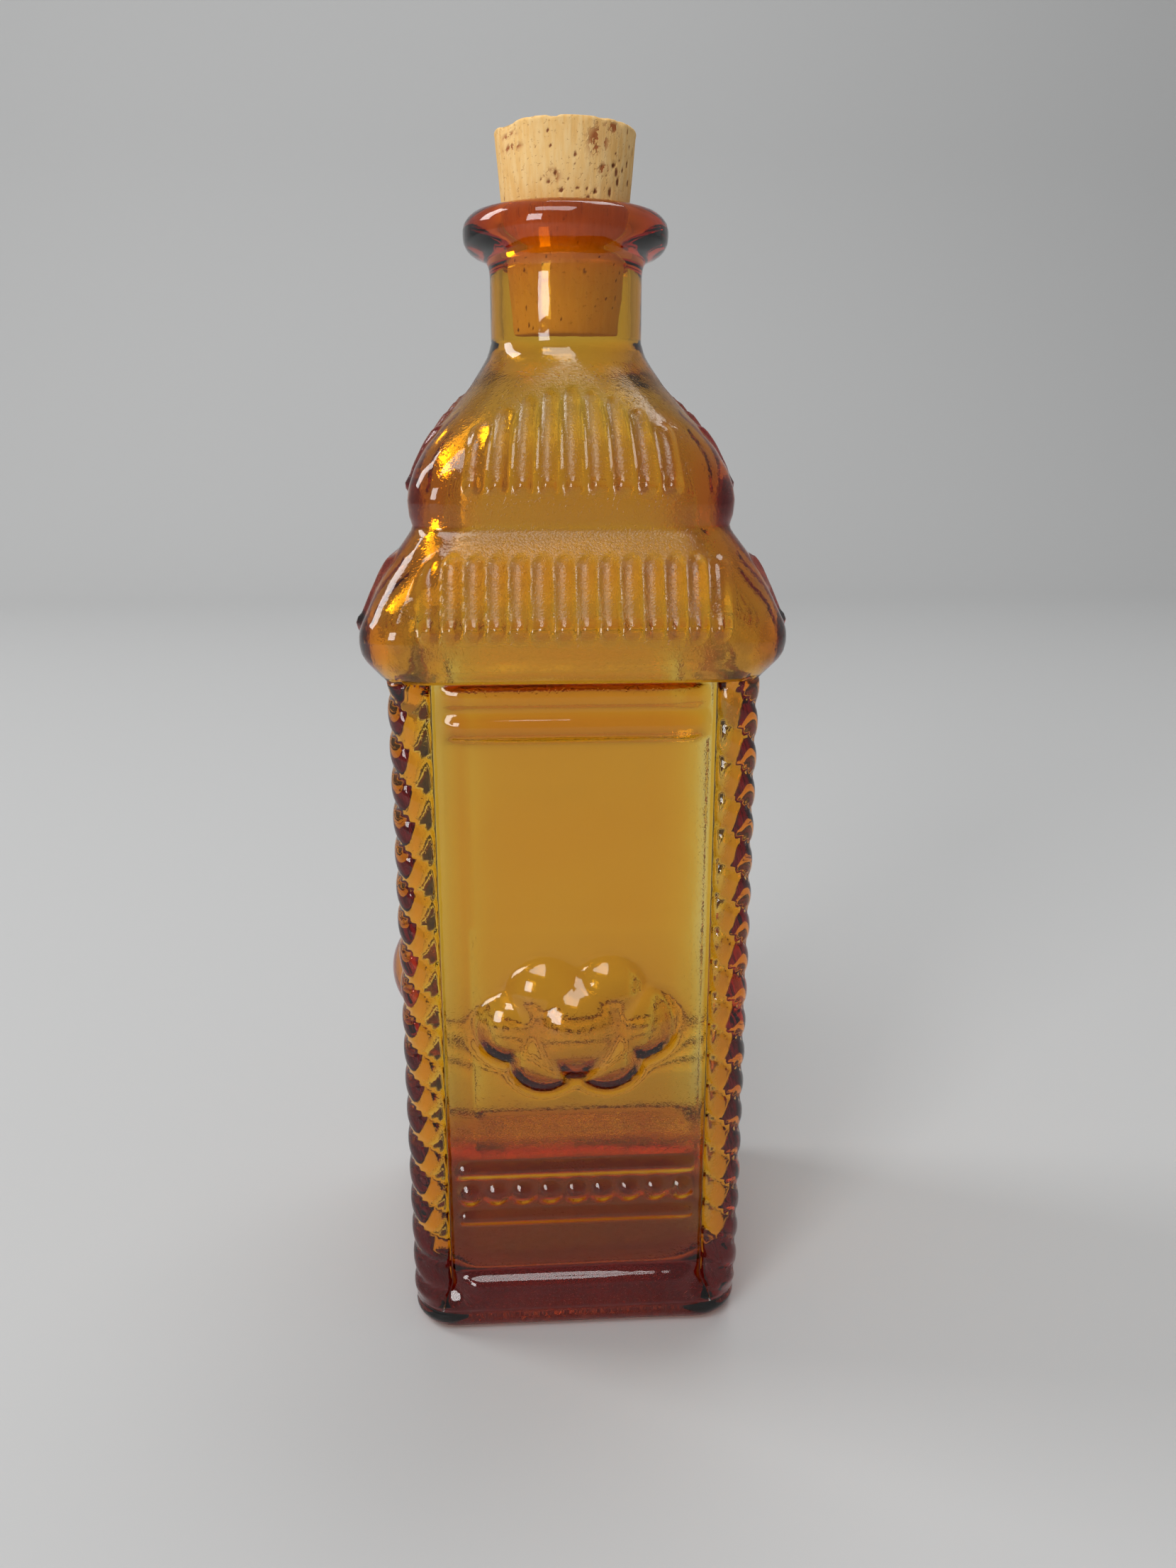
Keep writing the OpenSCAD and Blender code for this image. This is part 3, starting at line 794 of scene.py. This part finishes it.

# Each listed pore: its turn in degrees, height, half width, half height and depth.
PORES_BY_HAND = np.array([
    (-16, 253.3, 0.30, 0.42, 0.20), (-14, 250.7, 0.28, 0.40, 0.20), (-5, 255.0, 0.22, 0.22, 0.15),
    (6, 249.2, 0.30, 0.60, 0.20), (42, 248.0, 0.42, 0.42, 0.80), (-11, 246.0, 0.36, 0.50, 0.25),
    (-17, 244.6, 0.30, 0.55, 0.20), (-23, 245.2, 0.28, 0.30, 0.20), (0, 244.8, 0.26, 0.28, 0.20),
    (-6, 243.1, 0.38, 0.36, 0.40), (8, 243.4, 0.30, 0.34, 0.20), (16, 243.3, 0.28, 0.36, 0.20),
    (24, 243.1, 0.36, 0.40, 0.45), (39, 243.2, 0.32, 0.95, 0.25), (48, 245.3, 0.30, 0.85, 0.35),
    (54, 247.6, 0.26, 0.50, 0.25), (61, 249.0, 0.30, 0.60, 0.35), (66, 245.8, 0.30, 0.70, 0.30),
    (72, 251.5, 0.30, 0.80, 0.35), (-8, 247.9, 0.20, 0.20, 0.15), (-52, 245.7, 0.18, 0.16, 0.15),
    (29, 247.4, 0.24, 0.26, 0.15), (34, 246.2, 0.26, 0.24, 0.15), (12, 252.0, 0.20, 0.18, 0.10),
])
# Each rusty patch: its turn in degrees, height, half width and half height.
RUST_BY_HAND = np.array([
    (25, 251.8, 2.3, 2.6), (38, 254.4, 2.0, 0.9), (31, 247.0, 1.2, 1.0), (-52, 251.2, 3.6, 0.6),
    (-55, 253.4, 2.8, 0.5), (-14, 245.4, 1.6, 1.2), (150, 249.0, 3.0, 3.0), (-120, 246.0, 2.4, 2.2),
])


def on_side(turn, z):
    """Places on the cork's side, from turns and heights."""
    return polar(cork_radius(z), turn, z)


def spots(points, turns, places, wides, talls, deeps):
    """The deepest and the strongest of many smooth spots, each so wide round and so tall.

    A spot is a bell: e to the minus of the squared distance to the power 1.5,
    with the distance measured in the spot's own half width and half height.
    """
    depth, dark = np.zeros(len(points)), np.zeros(len(points))
    for turn, at, wide, tall, deep in zip(turns, places, wides, talls, deeps):
        gap = points - at
        along = gap @ (math.cos(turn), math.sin(turn), 0.0)
        rest = (gap**2).sum(1) - along**2
        bell = np.exp(-(((along / wide) ** 2 + rest / tall**2) ** SPOT_EDGE))
        depth = np.maximum(depth, deep * bell)
        dark = np.maximum(dark, at_least(FAINTEST, min(deep / FULL_DEPTH, 1.0)) * bell)
    return depth, dark


draw = np.random.default_rng(7)
pore_turn = draw.uniform(-math.pi, math.pi, PORES)
pore_z = draw.uniform(CORK_FOOT, CORK_TOP, PORES)
pore_wide = draw.lognormal(math.log(PORE_MIDDLE), PORE_SPREAD, PORES).clip(PORE_LEAST, PORE_MOST)
pore_tall = pore_wide * draw.uniform(*TALL_SHARES, PORES)
pore_deep = pore_wide * draw.uniform(*DEEP_SHARES, PORES)
top_reach = cork_radius(CORK_TOP) * np.sqrt(draw.uniform(0, 1, PORES))

pore_turn = np.concatenate([pore_turn, np.radians(PORES_BY_HAND[:, 0])])
pore_z, pore_wide, pore_tall, pore_deep = (
    np.concatenate(both) for both in zip((pore_z, pore_wide, pore_tall, pore_deep), PORES_BY_HAND.T[1:])
)
pore_at = on_side(pore_turn, pore_z)
pore_at[:ON_TOP] = polar(top_reach[:ON_TOP], pore_turn[:ON_TOP], CORK_TOP)
pore_in, pore_dark = spots(flat_cork, pore_turn, pore_at, pore_wide, pore_tall, pore_deep)
rust_turn = np.radians(RUST_BY_HAND[:, 0])
rust_at = on_side(rust_turn, RUST_BY_HAND[:, 1])
rust = spots(flat_cork, rust_turn, rust_at, *RUST_BY_HAND.T[2:], np.ones(len(rust_turn)))[1]
print("pores", len(pore_turn), "deepest", round(float(pore_in.max()), 2), "mm")

# %% [markdown]
# ## Grain and chips
#
# The side has a fine upright grain, which waves stretched along the height
# give, and the upper edge has lost crumbs where waves rise over a level, and a
# larger bit on the left. In the mouth the cork is pressed smooth, so its dents
# are shallower there.

# %% The whole cork
GRAIN_DEEP, GRAIN_STRETCH, GRAIN_WAVES = 0.032, (1, 1, 0.35), (21, 1.2, 4.0, 24)
RIM_BELOW, RIM_SPREAD, RIM_FROM_R = 0.2, 0.8, 12.5
CHIP_WAVES, CHIP_LEVEL, CHIP_DEEP, CHIP_DARK = (22, 1.5, 6.0, 16), 0.15, 0.9, 0.2
BROKEN_TURN, BROKEN_OVER, BROKEN_REACH, BROKEN_DEEP = -58.0, 0.3, 3.0, 0.8
SEAT, PRESSED_SHARE = 4, 0.35
FOOT_DIP, TOP_DIP = 0.02, 0.06

grain = GRAIN_DEEP * (1 + waves(flat_cork * GRAIN_STRETCH, *GRAIN_WAVES))
under_rim = flat_cork[:, 2] - CORK_TOP + RIM_BELOW
rim = np.exp(-(under_rim**2) / RIM_SPREAD) * (np.hypot(flat_cork[:, 0], flat_cork[:, 1]) > RIM_FROM_R)
chips = rim * np.clip(waves(flat_cork, *CHIP_WAVES) - CHIP_LEVEL, 0, None) * CHIP_DEEP
broken = on_side(math.radians(BROKEN_TURN), CORK_TOP + BROKEN_OVER)
chips += BROKEN_DEEP * np.exp(-(((flat_cork - broken) ** 2).sum(1) / BROKEN_REACH**2))
seated = ease((flat_cork[:, 2] - MOUTH_Z + SEAT) / SEAT)
dents = (pore_in + chips) * at_least(PRESSED_SHARE, seated) + grain
cork_skin = (flat_cork - outward(cork_grid).reshape(-1, 3) * dents[:, None]).reshape(cork_grid.shape)
cork_places = np.linspace(0, TURNS, AROUND, endpoint=False)
cork_points, cork_triangles = closed_skin(
    [(cork_skin, cork_places)], (0, 0, CORK_FOOT + FOOT_DIP), (0, 0, CORK_TOP - TOP_DIP)
)
marks = {
    "pores": np.concatenate([[0], np.clip(pore_dark + CHIP_DARK * chips, 0, 1), [0]]),
    "rust": np.concatenate([[0], np.clip(rust, 0, 1), [0]]),
}
cork = mesh_piece("tapered_cork", cork_points, cork_triangles, marks)

# %% [markdown]
# ## Shader maths as plain expressions
#
# A material is a graph of nodes. Written node by node it is long and hard to
# read, so a small class wraps a socket and lets Python's own signs add the Math
# nodes.

# %% Sockets that can be added and multiplied
class Wire:
    """A socket of a finish, which takes part in sums and products."""

    def __init__(self, finish, socket):
        self.finish, self.socket = finish, socket

    def math(self, operation, a, b, clamp=False):
        settings = {"operation": operation, "use_clamp": clamp}
        return self.finish.node("Math", settings, {0: a, 1: b})

    def clamped(self):
        return self.math("ADD", self, 0.0, clamp=True)


def both_ways(operation):
    """A sign with the wire on its left, and its reflected form with the wire on its right."""
    return (lambda wire, b: wire.math(operation, wire, b)), (lambda wire, a: wire.math(operation, a, wire))


Wire.__add__, Wire.__radd__ = both_ways("ADD")
Wire.__sub__, Wire.__rsub__ = both_ways("SUBTRACT")
Wire.__mul__, Wire.__rmul__ = both_ways("MULTIPLY")
print("a wire has", [name for name in vars(Wire) if name.startswith("__r")])

# %% [markdown]
# ## One method for every other node
#
# Everything else comes from one method that names the node, its settings and
# what its sockets hold: a Wire is linked and a plain value is set.

# %% A material under construction
class Finish:
    """A material under construction."""

    def __init__(self, name):
        self.material = bpy.data.materials.new(name)
        self.material.use_nodes = True
        self.nodes = self.material.node_tree.nodes
        self.links = self.material.node_tree.links
        self.nodes.clear()

    def node(self, kind, settings=None, sockets=None, out=0):
        """Adds a node, sets its settings, fills or links its sockets, returns one output."""
        node = self.nodes.new("ShaderNode" + kind)
        for name, value in (settings or {}).items():
            setattr(node, name, value)
        for name, value in (sockets or {}).items():
            if isinstance(value, Wire):
                self.links.new(value.socket, node.inputs[name])
            else:
                node.inputs[name].default_value = value
        return Wire(self, node.outputs[out]) if node.outputs else None

    def coordinates(self):
        """Object coordinates, in metres, which stay put on the piece."""
        return self.node("TexCoord", out="Object")

    def attribute(self, name):
        """The value that each point of the mesh carries under a name."""
        return self.node("Attribute", {"attribute_name": name}, out="Fac")

    def mix(self, share, a, b):
        """A colour between a and b."""
        settings = {"data_type": "RGBA", "blend_type": "MIX"}
        return self.node("Mix", settings, {0: share, 6: a, 7: b}, out=2)

    def noise(self, where, scale, detail, roughness):
        """A noise with so many lumps in a metre, so many finer layers, and their weight."""
        sockets = {"Vector": where, "Scale": scale, "Detail": detail, "Roughness": roughness}
        return self.node("TexNoise", None, sockets)

    def stretched(self, where, scale):
        """Coordinates times a scale, which makes a pattern long where the scale is small."""
        return self.node("Mapping", {"vector_type": "POINT"}, {"Vector": where, "Scale": scale})

    def ramp(self, value, low, high):
        """0 below low, 1 above high, and smooth between."""
        settings = {"interpolation_type": "SMOOTHSTEP"}
        return self.node("MapRange", settings, {"Value": value, "From Min": low, "From Max": high})

    def bump(self, height, distance, strength):
        """A normal that leans with a height, which is so many metres high at 1."""
        sockets = {"Height": height, "Distance": distance, "Strength": strength}
        return self.node("Bump", None, sockets)

    def principled(self, sockets):
        return self.node("BsdfPrincipled", None, sockets)

    def output(self, surface, volume=None):
        """Ends the material with its surface and, for glass, its volume."""
        sockets = {"Surface": surface} if volume is None else {"Surface": surface, "Volume": volume}
        self.node("OutputMaterial", None, sockets)
        return self.material


print("a finish has", [name for name in vars(Finish) if not name.startswith("_")])

# %% [markdown]
# ## Amber glass
#
# Amber glass is coloured all through by iron and sulphur, which take out blue
# and then green. A tinted surface would colour thick and thin glass alike. So
# the surface is clear, and the colour is a volume that absorbs: thin walls show
# honey yellow and long ways through the glass turn red brown and then almost
# black. The skin of pressed glass has a faint orange peel, which a bump of soft
# noise gives, and the satin has a grit with sparkling points.

# %% The glass finish
GLASS_DENSITY, GLASS_TINT, GLASS_IOR = 640.0, (0.968, 0.808, 0.06, 1.0), 1.5
SKIN_HEIGHT, SKIN_STRENGTH = 0.0004, 0.35

glass = Finish("amber_glass")
where = glass.coordinates()
satin = glass.attribute("satin")
peel = glass.noise(where, 160.0, 2.0, 0.4)
grit = glass.noise(where, 2300.0, 1.0, 0.5)
sparkle = glass.ramp(glass.noise(where, 1500.0, 1.0, 0.5), 0.58, 0.70)
patches = glass.ramp(glass.noise(where, 22.0, 2.0, 0.5), 0.35, 0.75)
skin = peel * at_least(0.35, patches) + (grit * 0.7 + sparkle * 0.6) * satin
surface = glass.principled({
    "Base Color": (1.0, 1.0, 1.0, 1.0),
    "Roughness": (0.03 + satin * (0.25 + 0.08 * patches)).clamped(),
    "IOR": GLASS_IOR,
    "Transmission Weight": 1.0,
    "Normal": glass.bump(skin, SKIN_HEIGHT, SKIN_STRENGTH),
})
tint = glass.node("VolumeAbsorption", None, {"Color": GLASS_TINT, "Density": GLASS_DENSITY})
glass_bottle.data.materials.append(glass.output(surface, tint))
taken = [round(GLASS_DENSITY * (1 - c) * MM, 3) for c in GLASS_TINT[:3]]
print("glass takes out per mm (red, green, blue):", taken)

# %% [markdown]
# ## Cork
#
# Cork is tan, with paler patches, fine dark specks, the rust of its lenticels
# and the brown of the pores, which turns black in the deepest pits. The grain
# runs upright in this one, because a stopper is punched along the bark. The part
# that sits in the mouth is painted paler, a painted light for the light that
# reaches it through the glass.

# %% The cork finish
TAN = (0.74, 0.42, 0.13, 1)
# Heights in metres: below the first the cork is painted paler, a painted light on the part in the mouth, and
# above the second it is not.
PAINTED_LIGHT_BELOW, PAINTED_LIGHT_ENDS_ABOVE = 0.231, 0.243
BARK_HEIGHT, BARK_STRENGTH, BARK_GLOSS = 0.0003, 0.5, 0.25

bark = Finish("cork")
where = bark.coordinates()
patch = bark.ramp(bark.noise(where, 110.0, 3.0, 0.55), 0.35, 0.7)
upright = bark.noise(bark.stretched(where, (1.0, 1.0, 0.16)), 900.0, 3.0, 0.6)
speckle = bark.ramp(bark.noise(where, 1500.0, 2.0, 0.6), 0.60, 0.74)
worms = bark.ramp(bark.noise(bark.stretched(where, (1.0, 1.0, 0.7)), 620.0, 3.0, 0.65), 0.49, 0.54)
pore, rusty = bark.attribute("pores"), bark.attribute("rust")
height = bark.node("SeparateXYZ", None, {"Vector": where}, out="Z")
# Each layer over the tan: its colour and the share of it that shows.
layers = [
    ((0.82, 0.51, 0.19, 1), patch),
    ((0.86, 0.60, 0.28, 1), bark.ramp(upright, 0.35, 0.7) * 0.7),
    # Painted light: the part in the mouth is painted paler, for the light that reaches it through the glass.
    ((0.95, 0.66, 0.32, 1), 0.55 * (1 - bark.ramp(height, PAINTED_LIGHT_BELOW, PAINTED_LIGHT_ENDS_ABOVE))),
    ((0.36, 0.15, 0.05, 1), speckle * 0.35),
    ((0.36, 0.11, 0.03, 1), (rusty * (0.15 + 1.1 * worms)).clamped()),
    ((0.23, 0.075, 0.025, 1), bark.ramp(pore, 0.1, 0.5)),
    ((0.02, 0.01, 0.008, 1), bark.ramp(pore, 0.6, 0.95)),
]
colour = TAN
for layer_colour, mask in layers:
    colour = bark.mix(mask, colour, layer_colour)
surface = bark.principled({
    "Base Color": colour,
    "Roughness": (0.72 + 0.2 * patch).clamped(),
    "Specular IOR Level": BARK_GLOSS,
    "Normal": bark.bump(upright + speckle * -0.6 + rusty * worms * -1.2, BARK_HEIGHT, BARK_STRENGTH),
})
cork.data.materials.append(bark.output(surface))
print("the cork finish has", len(bark.nodes), "nodes")

# %% Ride and replace
for piece, body_name, node_name, slot_name in (
    (glass_bottle, "glass", "glass_bottle", "amber_glass"),
    (cork, "cork", "cork_stopper", "cork"),
):
    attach(piece, body_name)
    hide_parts(node_name)
    print(piece.name, "rides on", body_name, "and stands for", node_name)

# %% [markdown]
# ## Floor, light and camera
#
# Glass shows its surroundings, so the studio is part of its look: a plain pale
# floor that rolls up into the background, and soft white panels that leave long
# highlights along the edges. A picture of a real studio would give more to
# reflect, but it would also colour the glass. The world adds an even, neutral
# light all round.

# %% Floor
FLOOR_WIDE, FLOOR_FRONT, FLOOR_BACK, SWEEP_R, BACK_TOP = 2.4, -2.0, 1.3, 0.7, 3.2
SWEEP_STEPS, FLOOR_COLOUR, FLOOR_ROUGHNESS = 24, (0.50, 0.50, 0.497, 1), 0.7

sweep_turn = np.linspace(0, math.pi / 2, SWEEP_STEPS)
sweep = np.stack([FLOOR_BACK + SWEEP_R * np.sin(sweep_turn), SWEEP_R * (1 - np.cos(sweep_turn))], 1)
profile = np.concatenate([[(FLOOR_FRONT, 0.0)], sweep, [(FLOOR_BACK + SWEEP_R, BACK_TOP)]])
left = np.column_stack([np.full(len(profile), -FLOOR_WIDE), profile])
right = np.column_stack([np.full(len(profile), FLOOR_WIDE), profile])
k = np.arange(len(profile) - 1)
floor_faces = np.stack([k, k + len(profile), k + 1 + len(profile), k + 1], 1)
floor_mesh = bpy.data.meshes.new("floor")
floor_mesh.from_pydata(np.concatenate([left, right]).tolist(), [], floor_faces.tolist())
floor_mesh.polygons.foreach_set("use_smooth", np.ones(len(floor_faces), bool))
floor = placed("floor", floor_mesh)
pale = Finish("pale_floor")
pale_surface = pale.principled({"Base Color": FLOOR_COLOUR, "Roughness": FLOOR_ROUGHNESS})
floor_mesh.materials.append(pale.output(pale_surface))
print("floor faces", len(floor_faces))

# %% World
SKY_COLOUR, SKY_STRENGTH = (0.96, 0.98, 1.0, 1), 0.34

world = bpy.data.worlds.new("studio")
bpy.context.scene.world = world
world.use_nodes = True
sky = world.node_tree.nodes["Background"]
sky.inputs["Color"].default_value = SKY_COLOUR
sky.inputs["Strength"].default_value = SKY_STRENGTH
print("the sky's strength is", SKY_STRENGTH)

# %% Lamps
# Each lamp: its place, its width and height, in metres, and its watts.
LAMPS = {
    "left": ((-1.75, 0.5, 1.5), (0.6, 1.2), 18.0),
    "front_left": ((-1.4, -1.9, 0.9), (0.7, 0.9), 20.0),
    "front_high": ((-0.45, -1.25, 2.1), (1.4, 0.9), 21.0),
    "back_high": ((0.4, 0.7, 2.2), (1.2, 0.8), 12.0),
}
LIT_POINT = (0.0, 0.0, 0.13)


def panel_light(name, at, size, watts):
    """A soft rectangular lamp at one place, aimed at the middle of the bottle, in metres."""
    lamp = bpy.data.lights.new(name, "AREA")
    lamp.shape, lamp.size, lamp.size_y, lamp.energy = "RECTANGLE", size[0], size[1], watts
    holder = placed(name, lamp)
    way = np.array(LIT_POINT) - np.array(at)
    away = np.linalg.norm(way)
    holder.location = at
    holder.rotation_euler = (math.acos(-way[2] / away), 0, math.atan2(way[0], -way[1]) + math.pi)
    print(f"lamp {name}: {watts} W at {away:.2f} m")


for lamp_name, (lamp_at, lamp_size, lamp_watts) in LAMPS.items():
    panel_light(lamp_name, lamp_at, lamp_size, lamp_watts)

# %% Camera at the photograph's viewing angle
IMAGE_TALL, FOCAL_PX, SENSOR = 2212, 1661, 36.0
DISTANCE, HEIGHT, TILT_DOWN, ROUND, YAW = 263.4, 195.4, 16.0, -2.4, 1.0
NEAREST_SEEN = 0.01

lens = bpy.data.cameras.new("photo_view")
lens.sensor_width = SENSOR
lens.lens = FOCAL_PX / IMAGE_TALL * SENSOR
lens.clip_start = NEAREST_SEEN
camera = placed("photo_view", lens)
a = math.radians(ROUND)
camera.location = (DISTANCE * math.sin(a) * MM, -DISTANCE * math.cos(a) * MM, HEIGHT * MM)
camera.rotation_euler = (math.radians(90 - TILT_DOWN), 0, a - math.radians(YAW))
bpy.context.scene.camera = camera
bpy.context.scene.view_settings.view_transform = "Standard"
print("camera lens", round(lens.lens, 2), "mm")
